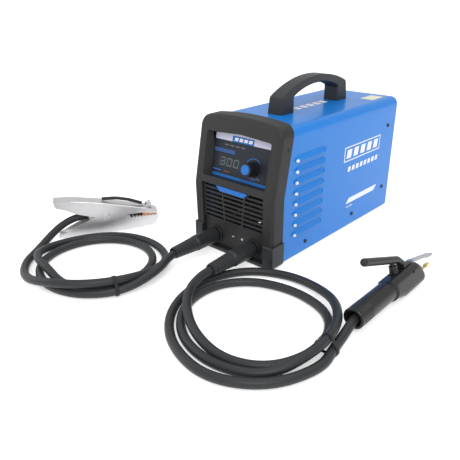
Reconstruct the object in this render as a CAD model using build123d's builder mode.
# Stick welder with its two leads: millimetres, +Z up, front towards -Y, origin at the machine's bottom centre.
from build123d import *
from math import cos, sin, radians, tan, pi, acos
import os

os.makedirs("parts", exist_ok=True)

# ---- driving dimensions -------------------------------------------------------------
COVER_W = 176.0
COVER_TOP = 235.5
COVER_BOTTOM = 4.0
COVER_FRONT = -176.0
COVER_REAR = 203.5
SHEET = 1.5
COVER_BEND = 15.0
LOUVRES = 8
LOUVRE_PITCH = 19.2
LOUVRE_LOW = 43.6
BEZEL_W = 180.0
BEZEL_FACE = -203.5
KINK_Z = 128.0
LEAN = 0.2
BEZEL_WALL = 3.3
PANEL_DEPTH = 15.0
BUMPER_W = 184.0
BUMPER_TOP = 43.7
SOCKET_X = 44.0
SOCKET_Z = 28.0
SOCKET_FACE = -197.0
FLANGE_R = 17.0
PIN_R = 6.5
CABLE_R = 7.0
KNOB_X = 29.0
KNOB_UP = 38.7
HANDLE_W = 32.0
FAN_Z = 88.0
FAN_R = 56.0
CLAMP_TURN = 59.0
GRIP_R = 16.0
GAP = 0.3


def save(builder, name):
    """Label a finished piece and write its STEP file."""
    builder.part.label = name
    export_step(builder.part, "parts/" + name + ".step")
    solids = len(builder.part.solids())
    print(name, "solids", solids, "volume", round(builder.part.volume, 1), "valid", builder.part.is_valid)


# ---- sheet cover ---------------------------------------------------------------------
# A bent U of sheet steel, open below, with horizontal louvres pressed out of both sides.
with BuildPart() as louvre_skin:
    with BuildSketch(Plane.XZ.offset(99)):
        with BuildLine():
            Polyline((87.5, 12), (88, 12), (92, 1.2), (91.4, 0), (87.5, 0), close=True)
        make_face()
    extrude(amount=41, both=True)
    fillet(louvre_skin.edges().filter_by(
        lambda e: abs(abs(e.center().Y + 99) - 41) < 0.1 and e.center().X > 89.5 and e.length > 5), radius=1.5)
    with Locations((87.6, -139.2, 4.4), (87.6, -58.8, 4.4)):
        Sphere(4.4)

with BuildPart() as louvre_void:
    with BuildSketch(Plane.XZ.offset(99)):
        with BuildLine():
            Polyline((85, 9.5), (87.2, 9.5), (90.4, 1), (90.4, -1), (85, -1), close=True)
        make_face()
    extrude(amount=38.5, both=True)

cover_screw_spots = [(173, 183), (176, 51), (57, 25), (-103, 21.6)]
with BuildPart() as cover:
    with BuildSketch(Plane.XZ.offset(-COVER_REAR)) as cover_outline:
        with BuildLine():
            FilletPolyline((-COVER_W / 2, COVER_BOTTOM), (-COVER_W / 2, COVER_TOP), (COVER_W / 2, COVER_TOP),
                           (COVER_W / 2, COVER_BOTTOM), radius=COVER_BEND)
            Line((COVER_W / 2, COVER_BOTTOM), (-COVER_W / 2, COVER_BOTTOM))
        make_face()
    extrude(amount=COVER_REAR - COVER_FRONT)
    inner_w = COVER_W / 2 - SHEET
    with BuildSketch(Plane.XZ.offset(-COVER_REAR - 1)) as cover_inside:
        with BuildLine():
            FilletPolyline((-inner_w, COVER_BOTTOM - 2), (-inner_w, COVER_TOP - SHEET),
                           (inner_w, COVER_TOP - SHEET), (inner_w, COVER_BOTTOM - 2), radius=COVER_BEND - SHEET)
            Line((inner_w, COVER_BOTTOM - 2), (-inner_w, COVER_BOTTOM - 2))
        make_face()
    extrude(amount=COVER_REAR - COVER_FRONT + 2, mode=Mode.SUBTRACT)
    louvre_places = [(0, 0, LOUVRE_LOW + LOUVRE_PITCH * i) for i in range(LOUVRES)]
    with Locations(*louvre_places):
        add(louvre_skin.part)
        add(louvre_void.part, mode=Mode.SUBTRACT)
    with Locations(*[Location(p, (0, 0, 180)) for p in [(0, -198, z) for (x, y, z) in louvre_places]]):
        add(louvre_skin.part)
        add(louvre_void.part, mode=Mode.SUBTRACT)
    for side in (-1, 1):
        with Locations(*[Location((side * 88, y, z), (0, 90, 0)) for y, z in cover_screw_spots]):
            Hole(radius=2.2, depth=6)
            Cylinder(radius=2.2, height=6, mode=Mode.SUBTRACT)
    with Locations((0, -78, COVER_TOP), (0, 111, COVER_TOP)):
        Cylinder(radius=3, height=8, mode=Mode.SUBTRACT)
save(cover, "cover")

with BuildPart() as cover_screws:
    for side in (-1, 1):
        plane = Plane(origin=(side * 88.05, 0, 0), x_dir=(0, side, 0), z_dir=(side, 0, 0))
        for y, z in cover_screw_spots:
            with BuildSketch(plane):
                with Locations((side * y, z)):
                    Circle(3.6)
            extrude(amount=1.6)
            with BuildSketch(plane):
                with Locations((side * y, z)):
                    Circle(1.9)
            extrude(amount=-6)
            with BuildSketch(plane.offset(1.6)):
                with Locations((side * y, z)):
                    Rectangle(3.6, 0.8)
                    Rectangle(0.8, 3.6)
            extrude(amount=-0.9, mode=Mode.SUBTRACT)
save(cover_screws, "cover_screws")

# ---- base plate and rear panel -------------------------------------------------------
with BuildPart() as base_plate:
    with BuildSketch(Plane.XY.offset(5)):
        with Locations((0, 12)):
            RectangleRounded(172, 366, 3)
    extrude(amount=1.5)
    with BuildSketch(Plane.XY.offset(5)):
        with GridLocations(172 - 1.5, 400, 2, 1):
            Rectangle(1.5, 340)
    extrude(amount=13)
    with BuildSketch(Plane.XY.offset(5)):
        with Locations((0, 20)):
            with GridLocations(16, 150, 7, 2):
                SlotOverall(40, 5, rotation=90)
    extrude(amount=3, mode=Mode.SUBTRACT)
save(base_plate, "base_plate")

with BuildPart() as rear_panel:
    with BuildSketch(Plane.XZ.offset(-198.5)):
        with BuildLine():
            FilletPolyline((-86.2, 5), (-86.2, COVER_TOP - 1.8), (86.2, COVER_TOP - 1.8), (86.2, 5), radius=13.2)
            Line((86.2, 5), (-86.2, 5))
        make_face()
        with Locations((0, FAN_Z)):
            Circle(FAN_R, mode=Mode.SUBTRACT)
        with Locations((45, 190)):
            Rectangle(28.4, 22.4, mode=Mode.SUBTRACT)
        with Locations((-45, 190)):
            Circle(10.2, mode=Mode.SUBTRACT)
        with Locations(*[(x, FAN_Z + z) for x in (-45, 45) for z in (-45, 45)]):
            Circle(2.2, mode=Mode.SUBTRACT)
    extrude(amount=-1.5)
    with BuildSketch(Plane.XZ.offset(-198.5)):
        with Locations((0, 217)):
            with GridLocations(14, 1, 9, 1):
                SlotOverall(10, 3.5)
    extrude(amount=-4, mode=Mode.SUBTRACT)
save(rear_panel, "rear_panel")

# ---- front bezel: the form that takes most care -----------------------------------------
slant = Plane(origin=(0, BEZEL_FACE, KINK_Z), x_dir=(1, 0, 0), z_dir=(0, -1, LEAN))


def bezel_outline(inset):
    """Front outline of the bezel, pulled in by a wall thickness."""
    side = BEZEL_W / 2 - inset
    low = 44.0 if inset == 0 else 30.0
    with BuildLine() as outline:
        Line((-side, low), (-side, 222 - inset))
        ThreePointArc((-side, 222 - inset), (-side + 5.5, 235.4 - inset), (-side + 18, 241.8 - inset))
        ThreePointArc((-side + 18, 241.8 - inset), (0, 246 - inset), (side - 18, 241.8 - inset))
        ThreePointArc((side - 18, 241.8 - inset), (side - 5.5, 235.4 - inset), (side, 222 - inset))
        Line((side, 222 - inset), (side, low))
        Line((side, low), (-side, low))
    return outline.line


with BuildPart() as bezel_hollow:
    with BuildSketch(Plane.XZ.offset(100)):
        with BuildLine():
            add(bezel_outline(BEZEL_WALL))
        make_face()
    extrude(amount=110)
    with BuildSketch(Plane.YZ):
        with BuildLine():
            Polyline((-188.2, 30), (-188.6, 128), (-165.6, 243), (-140, 252), (-140, 30), close=True)
        make_face()
    extrude(amount=100, both=True, mode=Mode.INTERSECT)

with BuildPart() as lip_hollow:
    with BuildSketch(Plane.XZ.offset(100)):
        with BuildLine():
            FilletPolyline((-88.3, 30), (-88.3, COVER_TOP + GAP), (88.3, COVER_TOP + GAP), (88.3, 30),
                           radius=COVER_BEND + GAP)
            Line((88.3, 30), (-88.3, 30))
        make_face()
    extrude(amount=76.4)

with BuildPart() as front_bezel:
    with BuildSketch(Plane.XZ.offset(140)):
        with BuildLine():
            add(bezel_outline(0))
        make_face()
    extrude(amount=75)
    with BuildSketch(Plane.YZ):
        with BuildLine():
            Polyline((-202.4, 44), (-204.7, 122), (-178, 255.5), (-147, 255.5), (-150, 240), (-173.5, 121),
                     (-173.5, 44), close=True)
        make_face()
    extrude(amount=100, both=True, mode=Mode.INTERSECT)
    rim = front_bezel.edges().filter_by(lambda e: e.center().Y < -176 and (abs(e.center().X) > 70 or e.center().Z > 232)
                                        and e.center().Z > 60)
    fillet(rim, radius=6.5)
    add(bezel_hollow.part, mode=Mode.SUBTRACT)
    add(lip_hollow.part, mode=Mode.SUBTRACT)
    # display opening: drafted funnel down to the control panel
    with BuildSketch(slant.offset(1)):
        with BuildLine():
            Polyline((-71.6, 11.2), (71.6, 11.2), (71.6, 88.8), (0, 92.8), (-71.6, 88.8), close=True)
        make_face()
        fillet(vertices(), radius=4)
    with BuildSketch(slant.offset(-PANEL_DEPTH - 1)):
        with BuildLine():
            Polyline((-62.6, 11.5), (62.6, 11.5), (62.6, 86.2), (0, 90.2), (-62.6, 86.2), close=True)
        make_face()
        fillet(vertices(), radius=3)
    loft(mode=Mode.SUBTRACT)
    # lower opening, open at the bottom, for grille and socket panel
    with BuildSketch(Plane.XZ.offset(180)):
        with Locations((0, 86.65)):
            Rectangle(140.6, 80.7 + 0.0)
    extrude(amount=40, mode=Mode.SUBTRACT)
    with BuildSketch(Plane.XZ.offset(180)):
        with Locations((0, 50)):
            Rectangle(140.6, 30)
    extrude(amount=40, mode=Mode.SUBTRACT)
    # pockets that thin the side pillars and the crown from behind
    with BuildSketch(Plane.XZ.offset(187)):
        with Locations((-80, 86), (80, 86)):
            Rectangle(12.5, 78)
    extrude(amount=12, mode=Mode.SUBTRACT)
    with BuildSketch(slant.offset(-PANEL_DEPTH - 1)):
        with Locations((-80.5, 52), (80.5, 52)):
            Rectangle(11, 72)
    extrude(amount=12.5, mode=Mode.SUBTRACT)
    with Locations(*[Location((s * 89, y, z), (0, 90, 0)) for s in (-1, 1) for y, z in ((-168, 204.6), (-178, 47.9))]):
        Cylinder(radius=1.6, height=7, mode=Mode.SUBTRACT)
    with Locations(*[Location((s * 91, y, z), (0, 90, 0)) for s in (-1, 1) for y, z in ((-168, 204.6), (-178, 47.9))]):
        Cylinder(radius=3.4, height=4, mode=Mode.SUBTRACT)
save(front_bezel, "front_bezel")

with BuildPart() as bezel_screws:
    for side in (-1, 1):
        plane = Plane(origin=(side * 89.0, 0, 0), x_dir=(0, side, 0), z_dir=(side, 0, 0))
        for y, z in ((-168, 204.6), (-178, 47.9)):
            with BuildSketch(plane):
                with Locations((side * y, z)):
                    Circle(3.0)
                    Circle(1.2, mode=Mode.SUBTRACT)
            extrude(amount=0.7)
            with BuildSketch(plane.offset(-0.0)):
                with Locations((side * y, z)):
                    Circle(1.3)
            extrude(amount=-0.6)
save(bezel_screws, "bezel_screws")

# ---- bumper, grille, badge ---------------------------------------------------------------
with BuildPart() as front_bumper:
    with BuildSketch(Plane.XZ.offset(172)):
        with BuildLine():
            FilletPolyline((-92, BUMPER_TOP), (-92, 0), (92, 0), (92, BUMPER_TOP), radius=8)
            Polyline((92, BUMPER_TOP), (72, BUMPER_TOP), (72, 8), (-72, 8), (-72, BUMPER_TOP), (-92, BUMPER_TOP))
        make_face()
    extrude(amount=33.5)
    fillet(front_bumper.faces().sort_by(Axis.Y)[0].edges().filter_by(
        lambda e: abs(e.center().X) > 80 or e.center().Z < 4), radius=4)
    with BuildSketch(Plane.XZ.offset(171)):
        with Locations((-80.8, 24), (80.8, 24)):
            RectangleRounded(14.5, 33, 3)
    extrude(amount=29, mode=Mode.SUBTRACT)
    with BuildSketch(Plane.XZ.offset(171)):
        with Locations((-80, 24), (80, 24)):
            with Locations((0, 0)):
                Rectangle(14.4, 3)
    extrude(amount=29)
    with BuildSketch(Plane.XY.offset(-0.1)):
        with GridLocations(20, 1, 7, 1):
            with Locations((0, -186)):
                SlotOverall(14, 5, rotation=90)
    extrude(amount=3, mode=Mode.SUBTRACT)
    with BuildSketch(Plane.XZ.offset(171)):
        with Locations((0, 33.7)):
            Rectangle(176.6, 60)
    extrude(amount=5.3, mode=Mode.SUBTRACT)
save(front_bumper, "front_bumper")

with BuildPart() as grille:
    with BuildSketch(Plane.XZ.offset(196.5)):
        with Locations((0, 93)):
            Rectangle(140, 66.4)
    extrude(amount=3)
    for i in range(8):
        z = 64.4 + 8.2 * i
        lean = (z - 60) / 66.0
        inner = 20 + 6 * lean
        with BuildSketch(Plane.XZ.offset(196)):
            with BuildLine():
                Polyline((-66, z - 2.1), (-inner - 1.6, z - 2.1), (-inner - 2.0, z + 2.1), (-66, z + 2.1), close=True)
            make_face()
            with BuildLine():
                Polyline((-inner + 1.6, z - 2.1), (inner - 1.6, z - 2.1), (inner - 1.2, z + 2.1),
                         (-inner + 1.2, z + 2.1), close=True)
            make_face()
            with BuildLine():
                Polyline((66, z - 2.1), (inner + 1.6, z - 2.1), (inner + 2.0, z + 2.1), (66, z + 2.1), close=True)
            make_face()
        extrude(amount=5, mode=Mode.SUBTRACT)
    with BuildSketch(Plane.XZ.offset(199.5)):
        with BuildLine():
            Polyline((-40.5, 126.2), (-29, 115), (29, 115), (40.5, 126.2), close=True)
        make_face()
    extrude(amount=2.2)
    with BuildSketch(Plane.XZ.offset(196.5)):
        with BuildLine():
            Polyline((-38.5, 126.2), (-28, 116), (28, 116), (38.5, 126.2), close=True)
        make_face()
    extrude(amount=3)
save(grille, "grille")

with BuildPart() as badge_plate:
    with BuildSketch(Plane.XZ.offset(202)):
        with BuildLine():
            Polyline((-36.2, 126), (-27.5, 117.2), (27.5, 117.2), (36.2, 126), close=True)
        make_face()
        fillet(vertices(), radius=1)
    extrude(amount=2.4)
    fillet(badge_plate.faces().sort_by(Axis.Y)[0].edges(), radius=0.7)
save(badge_plate, "badge_plate")

# ---- control panel, window, knob --------------------------------------------------------------
panel = slant.offset(-PANEL_DEPTH - 0.6)
with BuildPart() as control_panel:
    with BuildSketch(panel):
        with Locations((0, 51)):
            RectangleRounded(134, 90, 3)
        with Locations((-25.5, 40.5)):
            Rectangle(50.4, 18.4, mode=Mode.SUBTRACT)
        with Locations((KNOB_X, KNOB_UP)):
            Circle(4.2, mode=Mode.SUBTRACT)
    extrude(amount=-2)
save(control_panel, "control_panel")

with BuildPart() as display_window:
    with BuildSketch(panel):
        with Locations((-25.5, 40.5)):
            Rectangle(50, 18)
    extrude(amount=-2)
save(display_window, "display_window")

with BuildPart() as encoder:
    with BuildSketch(panel.offset(-2.3)):
        with Locations((KNOB_X, KNOB_UP)):
            RectangleRounded(16, 16, 2)
    extrude(amount=-8)
    with BuildSketch(panel.offset(-2.3)):
        with Locations((KNOB_X, KNOB_UP)):
            Circle(2.9)
    extrude(amount=6)
save(encoder, "encoder")

with BuildPart() as knob:
    with BuildSketch(panel.offset(0.6)):
        with Locations((KNOB_X, KNOB_UP)):
            Circle(13)
    extrude(amount=4)
    with BuildSketch(panel.offset(4.6)):
        with Locations((KNOB_X, KNOB_UP)):
            Circle(12)
            with PolarLocations(12.2, 18):
                Circle(0.9, mode=Mode.SUBTRACT)
    extrude(amount=16.4)
    with BuildSketch(panel.offset(0)):
        with Locations((KNOB_X, KNOB_UP)):
            Circle(2.97)
    extrude(amount=5, mode=Mode.SUBTRACT)
    with BuildSketch(panel.offset(21)):
        with Locations((KNOB_X, KNOB_UP)):
            Circle(8.7)
    extrude(amount=-3, mode=Mode.SUBTRACT)
save(knob, "knob")

with BuildPart() as knob_cap:
    with BuildSketch(panel.offset(18)):
        with Locations((KNOB_X, KNOB_UP)):
            Circle(8.5)
    extrude(amount=4.4)
    fillet(knob_cap.edges().group_by(Axis.Y)[0], radius=1)
    with BuildSketch(panel.offset(22.4)):
        with Locations((KNOB_X, KNOB_UP + 5.4)):
            Circle(1)
    extrude(amount=-0.8, mode=Mode.SUBTRACT)
save(knob_cap, "knob_cap")

# ---- socket panel, sockets, plugs -----------------------------------------------------------------
with BuildPart() as socket_panel:
    with BuildSketch(Plane.XZ.offset(-SOCKET_FACE - 2.5)):
        with Locations((0, 33.9)):
            Rectangle(140, 51.2)
        with Locations((-SOCKET_X, SOCKET_Z), (SOCKET_X, SOCKET_Z)):
            Circle(14.2, mode=Mode.SUBTRACT)
    extrude(amount=2.5)
save(socket_panel, "socket_panel")

for name, x in (("left", -SOCKET_X), ("right", SOCKET_X)):
    with BuildPart() as socket_body:
        with BuildSketch(Plane.XZ.offset(-SOCKET_FACE)):
            with Locations((x, SOCKET_Z)):
                Circle(FLANGE_R)
                Circle(11.2, mode=Mode.SUBTRACT)
        extrude(amount=3.5)
        fillet(socket_body.faces().sort_by(Axis.Y)[0].outer_wire().edges(), radius=1.2)
        with BuildSketch(Plane.XZ.offset(-SOCKET_FACE)):
            with Locations((x, SOCKET_Z)):
                Circle(14)
                Circle(11.2, mode=Mode.SUBTRACT)
        extrude(amount=-26)
        with BuildSketch(Plane.XZ.offset(-SOCKET_FACE - 26)):
            with Locations((x, SOCKET_Z)):
                Circle(14)
                Circle(5, mode=Mode.SUBTRACT)
        extrude(amount=-3)
    save(socket_body, "socket_body_" + name)
    with BuildPart() as socket_brass:
        with BuildSketch(Plane.XZ.offset(-SOCKET_FACE - 26)):
            with Locations((x, SOCKET_Z)):
                Circle(11.0)
                Circle(PIN_R + 0.06, mode=Mode.SUBTRACT)
        extrude(amount=27)
        with BuildSketch(Plane.XZ.offset(-SOCKET_FACE - 26)):
            with Locations((x, SOCKET_Z + 7.5)):
                Rectangle(3.4, 4)
        extrude(amount=27, mode=Mode.SUBTRACT)
        with BuildSketch(Plane.XZ.offset(-SOCKET_FACE - 26)):
            with Locations((x, SOCKET_Z)):
                Circle(4.8)
        extrude(amount=-16)
        with BuildSketch(Plane.XZ.offset(-SOCKET_FACE - 26)):
            with Locations((x, SOCKET_Z)):
                Circle(9)
        extrude(amount=2)
    save(socket_brass, "socket_brass_" + name)
    with BuildPart() as plug_pin:
        with BuildSketch(Plane.XZ.offset(177)):
            with Locations((x, SOCKET_Z)):
                Circle(PIN_R)
        extrude(amount=60)
        chamfer(plug_pin.edges().group_by(Axis.Y)[-1], length=1.2)
        with BuildSketch(Plane.XZ.offset(205)):
            with Locations((x, SOCKET_Z)):
                Circle(9.5)
        extrude(amount=24)
        with BuildSketch(Plane.XZ.offset(180)):
            with Locations((x, SOCKET_Z + 6.6)):
                Rectangle(2.8, 3)
        extrude(amount=5)
    save(plug_pin, "plug_pin_" + name)
    # rubber sleeve turned about the plug axis: collar, barrel, then a ribbed boot that tapers to the cable
    rings = []
    for i in range(6):
        front = -256 - 7.8 * i
        crest = 13.0 - 0.5 * i
        rings += [(crest - 1.4, front), (crest, front - 1), (crest - 0.2, front - 5), (crest - 1.5, front - 6)]
    with BuildPart() as plug_sleeve:
        with BuildSketch(Plane(origin=(x, 0, SOCKET_Z), x_dir=(1, 0, 0), z_dir=(0, 0, 1))):
            with BuildLine():
                Polyline((9.8, -202.2), (13.6, -202.2), (14.2, -204), (14.2, -251), (12.6, -254), *rings,
                         (9.4, -303), (CABLE_R + 1.2, -303), (CABLE_R + 0.3, -281.5), (CABLE_R + 0.3, -250),
                         (9.8, -250), close=True)
            make_face()
        revolve(axis=Axis((x, 0, SOCKET_Z), (0, 1, 0)))
    save(plug_sleeve, "plug_sleeve_" + name)

# ---- carry handle ------------------------------------------------------------------------------------
with BuildPart() as carry_handle:
    with BuildSketch(Plane.YZ):
        with BuildLine():
            Polyline((-53, 235.8), (-91, 235.8), (-86.5, 265))
            ThreePointArc((-86.5, 265), (20, 292.5), (119, 272))
            Polyline((119, 272), (125, 235.8), (88, 235.8), (88, 264))
            ThreePointArc((88, 264), (15, 279), (-53, 262.5))
            Line((-53, 262.5), (-53, 235.8))
        make_face()
        fillet(vertices().filter_by(lambda v: v.Y > 255), radius=5)
    extrude(amount=HANDLE_W / 2, both=True)
    chamfer(carry_handle.edges().filter_by(lambda e: abs(abs(e.center().X) - 16) < 0.1 and e.center().Z > 245),
            length=2.5)
    with Locations((0, -71, 239), (0, 106, 239)):
        Cylinder(radius=2.4, height=12, mode=Mode.SUBTRACT)
save(carry_handle, "carry_handle")

# ---- rear fittings ---------------------------------------------------------------------------------------
with BuildPart() as rear_feet:
    with BuildSketch(Plane.XY):
        with Locations((-66, 170), (66, 170), (0, 0)):
            Circle(9)
    extrude(amount=4.8)
    chamfer(rear_feet.edges().group_by(Axis.Z)[0], length=1.2)
save(rear_feet, "rear_feet")

with BuildPart() as fan_frame:
    with BuildSketch(Plane.XZ.offset(-173)):
        with Locations((0, FAN_Z)):
            RectangleRounded(112, 112, 6)
            Circle(53, mode=Mode.SUBTRACT)
            with GridLocations(90, 90, 2, 2):
                Circle(2.2, mode=Mode.SUBTRACT)
    extrude(amount=-25)
    with BuildSketch(Plane.XZ.offset(-173)):
        with Locations((0, FAN_Z)):
            Circle(20)
            Circle(2.6, mode=Mode.SUBTRACT)
            Rectangle(108, 6, rotation=45)
            Rectangle(108, 6, rotation=-45)
            Circle(2.6, mode=Mode.SUBTRACT)
    extrude(amount=-3)
save(fan_frame, "fan_frame")

with BuildPart() as fan_rotor:
    with BuildSketch(Plane.XZ.offset(-177)):
        with Locations((0, FAN_Z)):
            Circle(19)
    extrude(amount=-18)
    with BuildSketch(Plane.XZ.offset(-173)):
        with Locations((0, FAN_Z)):
            Circle(2.5)
    extrude(amount=-6)
    for i in range(7):
        with BuildSketch(Plane(origin=(0, 186, FAN_Z), x_dir=(0, 1, 0),
                               z_dir=(cos(radians(i * 360 / 7)), 0, sin(radians(i * 360 / 7)))).offset(17)):
            Rectangle(20, 1.6, rotation=35)
        extrude(amount=33)
save(fan_rotor, "fan_rotor")

with BuildPart() as fan_guard:
    with BuildSketch(Plane.XZ.offset(-200.3)):
        with Locations((0, FAN_Z)):
            for r in (16, 24, 32, 40, 48, 56):
                Circle(r + 0.9)
                Circle(r - 0.9, mode=Mode.SUBTRACT)
    extrude(amount=-1.6)
    with BuildSketch(Plane.XZ.offset(-200.3)):
        with Locations((0, FAN_Z)):
            Rectangle(126, 2.4, rotation=45)
            Rectangle(126, 2.4, rotation=-45)
            with PolarLocations(63.6, 4, start_angle=45):
                Circle(4)
                Circle(2.2, mode=Mode.SUBTRACT)
    extrude(amount=-1.6)
save(fan_guard, "fan_guard")

with BuildPart() as power_switch_body:
    with BuildSketch(Plane.XZ.offset(-200.3)):
        with Locations((45, 190)):
            RectangleRounded(33, 27, 2)
            Rectangle(22.6, 18.4, mode=Mode.SUBTRACT)
    extrude(amount=-2)
    with BuildSketch(Plane.XZ.offset(-200.3)):
        with Locations((45, 190)):
            Rectangle(28, 22)
            Rectangle(22.6, 18.4, mode=Mode.SUBTRACT)
    extrude(amount=24)
    with BuildSketch(Plane.XZ.offset(-176.3)):
        with Locations((45, 190)):
            Rectangle(28, 22)
    extrude(amount=2)
save(power_switch_body, "power_switch_body")

with BuildPart() as power_rocker:
    with BuildSketch(Plane.YZ.offset(34.2)):
        with BuildLine():
            Polyline((190, 190 - 4), (199, 190 - 7.4), (203.6, 190 - 7.2), (201.8, 190), (205.2, 190 + 7.0),
                     (199, 190 + 7.4), (190, 190 + 4), close=True)
        make_face()
    extrude(amount=21.6)
save(power_rocker, "power_rocker")

with BuildPart() as gland_body:
    with BuildSketch(Plane.XZ.offset(-200.0)):
        with Locations((-45, 190)):
            RegularPolygon(13, 6)
    extrude(amount=-4)
    with BuildSketch(Plane.XZ.offset(-204.0)):
        with Locations((-45, 190)):
            Circle(11)
    extrude(amount=-9, taper=8)
    with BuildSketch(Plane.XZ.offset(-200.0)):
        with Locations((-45, 190)):
            Circle(10)
    extrude(amount=12)
    with BuildSketch(Plane.XZ.offset(-214.0)):
        with Locations((-45, 190)):
            Circle(5.2)
    extrude(amount=30, mode=Mode.SUBTRACT)
save(gland_body, "gland_body")

with BuildPart() as gland_nut:
    with BuildSketch(Plane.XZ.offset(-198.2)):
        with Locations((-45, 190)):
            RegularPolygon(14, 6)
            Circle(10.1, mode=Mode.SUBTRACT)
    extrude(amount=5)
save(gland_nut, "gland_nut")

# ---- what is inside -----------------------------------------------------------------------------------------
with BuildPart() as main_board:
    with BuildSketch(Plane.YZ.offset(-60)):
        with Locations((0, 105)):
            Rectangle(230, 150)
            with GridLocations(214, 134, 2, 2):
                Circle(2, mode=Mode.SUBTRACT)
    extrude(amount=2)
save(main_board, "main_board")

with BuildPart() as heat_sink:
    with BuildSketch(Plane.XZ.offset(-110)):
        with Locations((-50, 105)):
            Rectangle(6, 120)
        with Locations((-35, 105)):
            with GridLocations(1, 12, 1, 10):
                Rectangle(26, 2.4)
    extrude(amount=178)
save(heat_sink, "heat_sink")

with BuildPart() as transformer_core:
    with BuildSketch(Plane.XY.offset(12)):
        with Locations((35, -20)):
            Rectangle(56, 66)
            with Locations((-16, 0), (16, 0)):
                Rectangle(12, 40, mode=Mode.SUBTRACT)
    extrude(amount=60)
save(transformer_core, "transformer_core")

with BuildPart() as transformer_winding:
    with BuildSketch(Plane.XY.offset(14)):
        with Locations((19, -20), (51, -20)):
            Rectangle(11, 39)
    extrude(amount=56)
save(transformer_winding, "transformer_winding")

with BuildPart() as capacitors:
    with BuildSketch(Plane.YZ.offset(-57.4)):
        with Locations((-92, 120)):
            with GridLocations(1, 38, 1, 3):
                Circle(17)
    extrude(amount=45)
save(capacitors, "capacitors")

with BuildPart() as output_bars:
    for x in (-SOCKET_X, SOCKET_X):
        with BuildSketch(Plane.YZ.offset(x - 7)):
            with BuildLine():
                Polyline((-154.6, 20), (-154.6, 60), (-70, 60), (-70, 57), (-151.6, 57), (-151.6, 20), close=True)
            make_face()
        extrude(amount=14)
save(output_bars, "output_bars")

# ---- cables ----------------------------------------------------------------------------------------------------


def coil(centre, first, step, stations):
    """Points round a hand-laid coil: each station gives the cable's distance from the centre and its height."""
    reach = 1 / cos(radians(step / 2))
    points = []
    for i, (r, z) in enumerate(stations):
        a = radians(first + step * i)
        points.append((centre[0] + reach * r * cos(a), centre[1] + reach * r * sin(a), z))
    return points


def bend_radii(points):
    """Largest bend at each corner that leaves a short straight between neighbours."""
    radii = []
    for before, here, after in zip(points, points[1:], points[2:]):
        u = Vector(*before) - Vector(*here)
        v = Vector(*after) - Vector(*here)
        turn = pi - acos(max(-1.0, min(1.0, u.normalized().dot(v.normalized()))))
        radii.append(0.45 * min(u.length, v.length) / tan(turn / 2))
    return radii


earth_stations = [(124, 21.5), (116, 9), (108, 8), (101, 7.2), (97, 7.2), (95, 7.2),
                  (92, 7.2), (89, 7.2), (88, 7.2), (89, 7.2), (92, 7.2), (95, 7.2),
                  (96, 8), (98, 8.6), (92, 8), (85, 9), (83, 22), (103, 24),
                  (108, 12), (106, 7.2), (106, 7.2), (108, 7.2), (113, 7.2), (119, 7.2),
                  (110, 15), (107, 23.6), (104, 24), (110, 24), (119, 12), (122, 7.2)]
earth_route = [(-44, -282, 28), (-44, -310, 27.5)]
earth_route += coil((-150, -385), 15, -30, earth_stations)
earth_route += [(-268, -431, 9), (-291.1, -389.3, 18), (-294.9, -362.6, 28), (-289.7, -336.1, 36),
                (-277.3, -315.6, 38)]

electrode_stations = [(110, 23.5), (99, 24), (98, 15), (104, 7.2), (111, 7.6), (107, 8.5),
                      (104, 8.3), (100, 7.2), (91, 7.2), (90, 7.2), (98, 7.2), (106, 7.2),
                      (108, 7.2), (109, 7.2), (113, 7.2), (119.5, 7.2), (126.5, 8), (117, 22),
                      (113, 24), (112, 24), (117, 13), (129, 7.2), (134, 7.2), (130, 7.2),
                      (124.5, 7.2), (125, 7.2), (131, 7.2), (143, 7.2), (142, 7.6), (133, 8.5)]
electrode_route = [(44, -282, 28), (44, -304, 28), (45.5, -327, 26.8)]
electrode_route += coil((165, -330), 195, 30, electrode_stations)
electrode_route += [(288, -322, 8.4), (284.5, -293, 12), (282.3, -268, 20.5), (282, -246, 23.5)]

for name, route in (("earth_cable", earth_route), ("electrode_cable", electrode_route)):
    radii = bend_radii(route)
    with BuildPart() as cable:
        with BuildLine() as line:
            FilletPolyline(*route, radius=radii)
        path = line.wires()[0]
        with BuildSketch(Plane(origin=path @ 0, z_dir=path % 0)):
            Circle(CABLE_R)
        sweep(path=path)
    print(name, "length", round(path.length, 1), "bend radii", [round(r) for r in radii])
    print(name, "volume over section times length", round(cable.part.volume / (pi * CABLE_R ** 2 * path.length), 4))
    save(cable, name)

# ---- ties: one flat strap round each coil where three strands lie together -------------------------------------


def strands_at(route, centre, angle):
    """Where the strands of a coil pass a radial plane: distance from the centre and height of each."""
    radial = Vector(cos(radians(angle)), sin(radians(angle)), 0)
    along = Vector(-sin(radians(angle)), cos(radians(angle)), 0)
    with BuildLine() as line:
        FilletPolyline(*route, radius=bend_radii(route))
    path = line.wires()[0]
    found = []
    points = [path @ (i / 1200) - Vector(centre[0], centre[1], 0) for i in range(1201)]
    for a, b in zip(points, points[1:]):
        if a.dot(along) * b.dot(along) <= 0 and a.dot(radial) > 0:
            found.append((a.dot(radial), a.Z))
    return found


for name, route, centre, angle in (("earth_tie", earth_route, (-150, -385), -20),
                                   ("electrode_tie", electrode_route, (165, -330), 2)):
    strands = strands_at(route, centre, angle)
    print(name, "strands", [(round(r, 1), round(z, 1)) for r, z in strands])
    tie_plane = Plane(origin=(centre[0], centre[1], 0), x_dir=(cos(radians(angle)), sin(radians(angle)), 0),
                      z_dir=(sin(radians(angle)), -cos(radians(angle)), 0))
    with BuildPart() as tie:
        with BuildSketch(tie_plane.offset(-2.5)):
            with Locations(*strands):
                Circle(CABLE_R + 1.35)
            make_hull()
        extrude(amount=5)
        with BuildSketch(tie_plane.offset(-3)):
            with Locations(*strands):
                Circle(CABLE_R + 0.5)
            make_hull()
        extrude(amount=6, mode=Mode.SUBTRACT)
    save(tie, name)

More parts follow.
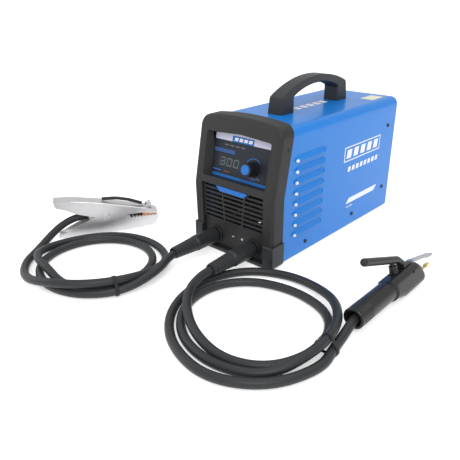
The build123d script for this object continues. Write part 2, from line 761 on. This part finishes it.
# ---- earth clamp: two sprung steel channels on one pivot ----------------------------------------------------------
turn_x = cos(radians(CLAMP_TURN))
turn_y = sin(radians(CLAMP_TURN))
clamp_plane = Plane(origin=(-301, -355, 0), x_dir=(turn_x, turn_y, 0), z_dir=(turn_y, -turn_x, 0))
PIVOT = (80, 36)

with BuildPart() as clamp_upper_arm:
    with BuildSketch(clamp_plane.offset(-15)):
        with BuildLine():
            Polyline((-15, 76), (26, 73), (77, 64), (158, 44), (180, 36), (178, 32), (148, 36), (116, 35), (97, 26),
                     (90, 22), (80, 20), (70, 22), (63, 27), (58, 37), (23, 48), (6.5, 57), (-12, 64), close=True)
        make_face()
    extrude(amount=30)
    fillet(clamp_upper_arm.edges().filter_by(
        lambda e: e.center().Z > 38 and e.length > 22 and e.length < 84 and abs(e.center().Z - 50) < 26
        and abs((e % 0.5).dot(Vector(turn_y, -turn_x, 0))) < 0.1
        and e.center().Z > 63.9 - 0.25 * (clamp_plane.to_local_coords(e.center()).X - 77) - 4), radius=1.8)
    with BuildSketch(clamp_plane.offset(-13)):
        with BuildLine():
            Polyline((-20, 73.8), (26, 70.8), (77, 61.8), (158, 41.8), (176, 35.2), (190, 28), (190, 0), (-20, 0),
                     close=True)
        make_face()
    extrude(amount=26, mode=Mode.SUBTRACT)
    with BuildSketch(clamp_plane.offset(-20)):
        with Locations(PIVOT):
            Circle(4.06)
    extrude(amount=40, mode=Mode.SUBTRACT)
save(clamp_upper_arm, "clamp_upper_arm")

with BuildPart() as clamp_lower_arm:
    with BuildSketch(clamp_plane.offset(-12.7)):
        with BuildLine():
            Polyline((-13, 1.5), (0, 0.4), (60, 0.4), (116, 2.5), (174, 8), (181, 22), (180, 29), (148, 29), (116, 34),
                     (96, 44), (90, 49), (80, 51), (70, 49), (64, 44), (58, 37), (-13, 3.5), close=True)
        make_face()
    extrude(amount=25.4)
    with BuildSketch(clamp_plane.offset(-10.7)):
        with BuildLine():
            Polyline((-20, 3.6), (0, 2.6), (60, 2.6), (116, 4.7), (172.6, 10.2), (178.4, 22), (178, 60), (-20, 60),
                     close=True)
        make_face()
    extrude(amount=21.4, mode=Mode.SUBTRACT)
    with BuildSketch(clamp_plane.offset(-20)):
        with Locations(PIVOT):
            Circle(4.0)
    extrude(amount=40, mode=Mode.SUBTRACT)
    with BuildSketch(clamp_plane.offset(-20)):
        for i in range(8):
            with BuildLine():
                Polyline((125.5 + 6.5 * i, 33), (125.5 + 6.5 * i, 29), (128 + 6.5 * i, 26.2), (130.5 + 6.5 * i, 29),
                         (130.5 + 6.5 * i, 33), close=True)
            make_face()
    extrude(amount=40, mode=Mode.SUBTRACT)
save(clamp_lower_arm, "clamp_lower_arm")

with BuildPart() as clamp_pivot:
    with BuildSketch(clamp_plane.offset(-15.4)):
        with Locations(PIVOT):
            Circle(4.0)
    extrude(amount=32)
    for start in (-17.6, 15.3):
        with BuildSketch(clamp_plane.offset(start)):
            with Locations(PIVOT):
                Circle(6.6)
        extrude(amount=2.3)
    chamfer(clamp_pivot.edges().filter_by(GeomType.CIRCLE).filter_by(lambda e: e.radius > 6), length=0.7)
save(clamp_pivot, "clamp_pivot")

pivot_spot = clamp_plane.from_local_coords((PIVOT[0], PIVOT[1], 0))
with BuildPart() as clamp_spring:
    ridges = [(7.7 if i % 2 else 6.4, -7.2 + 1.03 * i) for i in range(15)]
    with BuildSketch(Plane(origin=pivot_spot, x_dir=(0, 0, 1), z_dir=clamp_plane.x_dir)):
        with BuildLine():
            Polyline((4.6, -7.2), *ridges, (4.6, 7.22), close=True)
        make_face()
    revolve(axis=Axis(pivot_spot, clamp_plane.z_dir))
    for rise, side in ((1, 6.3), (-1, -6.3)):
        leg_start = clamp_plane.from_local_coords((PIVOT[0], PIVOT[1] + 6.6 * rise, side))
        leg_end = clamp_plane.from_local_coords((PIVOT[0] - 27, PIVOT[1] + 16 * rise, side))
        with BuildSketch(Plane(origin=leg_start, z_dir=leg_end - leg_start)):
            Circle(1.15)
        extrude(amount=(leg_end - leg_start).length)
save(clamp_spring, "clamp_spring")

with BuildPart() as clamp_cable_block:
    with BuildSketch(clamp_plane.offset(-9.5)):
        with Locations((56.3, 37)):
            RectangleRounded(19, 17, 3)
    extrude(amount=19)
save(clamp_cable_block, "clamp_cable_block")

with BuildPart() as clamp_contact_upper:
    with BuildSketch(clamp_plane.offset(-12.5)):
        with BuildLine():
            Polyline((150, 29.5), (179, 29.5), (179, 33.2), (158, 41.0), (150, 43.2), close=True)
        make_face()
        with BuildLine():
            Polyline((152, 33.5), (172, 33.5), (158, 38.6), (152, 40.0), close=True)
        make_face(mode=Mode.SUBTRACT)
        for i in range(5):
            with BuildLine():
                Polyline((150 + 6.5 * i, 28), (150 + 6.5 * i, 29.5), (152.2 + 6.5 * i, 32), (154.4 + 6.5 * i, 29.5),
                         (154.4 + 6.5 * i, 28), close=True)
            make_face(mode=Mode.SUBTRACT)
    extrude(amount=25)
save(clamp_contact_upper, "clamp_contact_upper")

with BuildPart() as clamp_contact_lower:
    with BuildSketch(clamp_plane.offset(-10.4)):
        with BuildLine():
            Polyline((150, 28.8), (177.6, 28.8), (177.6, 24), (172, 11), (169, 10.8), (173.6, 24), (173.6, 26.2),
                     (150, 26.2), close=True)
        make_face()
    extrude(amount=20.8)
save(clamp_contact_lower, "clamp_contact_lower")

with BuildPart() as clamp_lead_tail:
    tail = [(75, 68.3), (101, 67.2), (126, 61.0), (151, 50.6)]
    with BuildLine(clamp_plane) as tail_line:
        FilletPolyline(*tail, radius=[60, 60])
    tail_path = tail_line.wires()[0]
    with BuildSketch(Plane(origin=tail_path @ 0, z_dir=tail_path % 0)):
        Circle(3.2)
    sweep(path=tail_path)
save(clamp_lead_tail, "clamp_lead_tail")

slope = radians(-20)
bolt_seat = Plane(origin=clamp_plane.from_local_coords((162, 42.7, 0)),
                  x_dir=clamp_plane.x_dir * cos(slope) + Vector(0, 0, sin(slope)),
                  z_dir=Vector(0, 0, cos(slope)) - clamp_plane.x_dir * sin(slope))
with BuildPart() as clamp_bolt:
    with BuildSketch(bolt_seat.offset(0.1)):
        with Locations((-2, 0)):
            SlotOverall(22, 15)
    extrude(amount=1.6)
    with BuildSketch(bolt_seat.offset(1.7)):
        Circle(7.4)
    extrude(amount=1.5)
    with BuildSketch(bolt_seat.offset(3.2)):
        RegularPolygon(6.9, 6)
    extrude(amount=5.6)
    chamfer(clamp_bolt.faces().sort_by(Axis.Z)[-1].edges(), length=0.8)
    with BuildSketch(bolt_seat.offset(8.8)):
        Circle(3.6)
    extrude(amount=3.4)
save(clamp_bolt, "clamp_bolt")

# ---- electrode holder, lying on its side by 20 degrees ----------------------------------------------------------------
holder_plane = Plane(origin=(282, -266, 23.5), x_dir=(0, 1, 0), z_dir=(0.9397, 0, 0.342))
LEVER_PIVOT = (158, 8)

grip_rings = []
for i in range(6):
    grip_rings += [(5 + 4.5 * i, 16), (5.6 + 4.5 * i, 15.5), (6.8 + 4.5 * i, 15.5), (7.4 + 4.5 * i, 16)]
with BuildPart() as holder_grip:
    with BuildSketch(holder_plane):
        with BuildLine():
            Polyline((0, 12.2), (0, 14.5), (1.5, 16), *grip_rings, (96, 16),
                     (96, CABLE_R + 0.3), (21, CABLE_R + 0.3), (9, 9.6), (9, 12.2), close=True)
        make_face()
    revolve(axis=Axis(holder_plane.origin, holder_plane.x_dir))
save(holder_grip, "holder_grip")

with BuildPart() as holder_head:
    with BuildSketch(holder_plane.offset(-16)):
        with BuildLine():
            Polyline((96.1, -16), (106, -16.2), (130, -21.5), (190, -21.5), (198, -17), (198.5, -6), (192, 8), (182, 15.5),
                     (175, 16.5), (112, 16.5), (96.1, 16), close=True)
        make_face()
    extrude(amount=32)
    long_edges = holder_head.edges().filter_by(
        lambda e: abs(holder_plane.to_local_coords(e.center()).Z) > 15.9)
    fillet(long_edges, radius=10.5)
    # lever slot, spring well and the lower jaw's seat
    with BuildSketch(holder_plane.offset(-7)):
        with BuildLine():
            Polyline((144, 20), (144, 4), (150, -4), (204, -4), (204, 20), close=True)
        make_face()
    extrude(amount=14, mode=Mode.SUBTRACT)
    with BuildSketch(holder_plane.offset(-7.6)):
        with Locations((128, 12)):
            Rectangle(19, 20)
    extrude(amount=15.2, mode=Mode.SUBTRACT)
    with BuildSketch(holder_plane.offset(-3.8)):
        with Locations((192, -9.4)):
            Rectangle(24, 2.2)
    extrude(amount=7.6, mode=Mode.SUBTRACT)
    with BuildSketch(holder_plane.offset(-20)):
        with Locations(LEVER_PIVOT):
            Circle(2.5)
    extrude(amount=40, mode=Mode.SUBTRACT)
    with BuildSketch(Plane(origin=holder_plane.from_local_coords((145, -22.5, 0)),
                           z_dir=holder_plane.y_dir)):
        Circle(3.2)
    extrude(amount=3.6, mode=Mode.SUBTRACT)
save(holder_head, "holder_head")

with BuildPart() as holder_screw:
    with BuildSketch(Plane(origin=holder_plane.from_local_coords((145, -21.1, 0)), z_dir=holder_plane.y_dir)):
        Circle(3.0)
    extrude(amount=2.1)
save(holder_screw, "holder_screw")

with BuildPart() as holder_lower_jaw:
    with BuildSketch(holder_plane.offset(-3.5)):
        with BuildLine():
            Polyline((181, -10.2), (226, -10.2), (228, -12), (238, -12), (238, -6.4), (228, -6.4),
                     (226, -8.6), (181, -8.6), close=True)
        make_face()
    extrude(amount=7)
save(holder_lower_jaw, "holder_lower_jaw")

with BuildPart() as holder_upper_jaw:
    with BuildSketch(holder_plane.offset(-6)):
        with BuildLine():
            Polyline((170, 12.6), (184, 14.6), (226, 7.4), (229, 5.0), (249, 2.6), (249, 6.4), (185, 18.2),
                     (170, 16.4), close=True)
        make_face()
    extrude(amount=12)
save(holder_upper_jaw, "holder_upper_jaw")

with BuildPart() as holder_lever:
    with BuildLine(holder_plane) as lever_line:
        FilletPolyline((57, 61.3), (144, 33), (166, 13), radius=12)
    lever_path = lever_line.wires()[0]
    with BuildSketch(Plane(origin=lever_path @ 0, z_dir=lever_path % 0)):
        Circle(6.2)
    sweep(path=lever_path)
    with Locations(holder_plane.from_local_coords((57, 61.3, 0))):
        Sphere(6.2)
    with BuildSketch(Plane(origin=holder_plane.from_local_coords((128, 29.5, 0)), z_dir=holder_plane.y_dir)):
        Circle(4)
    extrude(amount=6)
    with BuildSketch(holder_plane.offset(-6.2)):
        with BuildLine():
            Polyline((150, 22), (150, 10), (154, 3), (162, 1), (170, 4), (178, 12.4), (168, 12.4), (168, 16.6),
                     (178, 17.0), (172, 20), (162, 24), close=True)
        make_face()
    extrude(amount=12.4)
    with BuildSketch(holder_plane.offset(-20)):
        with Locations(LEVER_PIVOT):
            Circle(2.56)
    extrude(amount=40, mode=Mode.SUBTRACT)
    with BuildSketch(holder_plane.offset(-6.05)):
        with BuildLine():
            Polyline((168.2, 12.5), (184, 14.6), (184, 18.2), (170, 16.5), (168.2, 16.5), close=True)
        make_face()
    extrude(amount=12.1, mode=Mode.SUBTRACT)
save(holder_lever, "holder_lever")

with BuildPart() as holder_pivot:
    with BuildSketch(holder_plane.offset(-14.8)):
        with Locations(LEVER_PIVOT):
            Circle(2.5)
    extrude(amount=29.6)
save(holder_pivot, "holder_pivot")

with BuildPart() as holder_spring_boot:
    stub = Plane(origin=holder_plane.from_local_coords((128, 9, 0)), z_dir=holder_plane.y_dir)
    with BuildSketch(stub):
        Circle(6.2)
    extrude(amount=20.4)
    with BuildSketch(stub.offset(9.5)):
        Circle(7.0)
    extrude(amount=1.6)
    with BuildSketch(stub.offset(13)):
        Circle(6.7)
    extrude(amount=1.6)
save(holder_spring_boot, "holder_spring_boot")
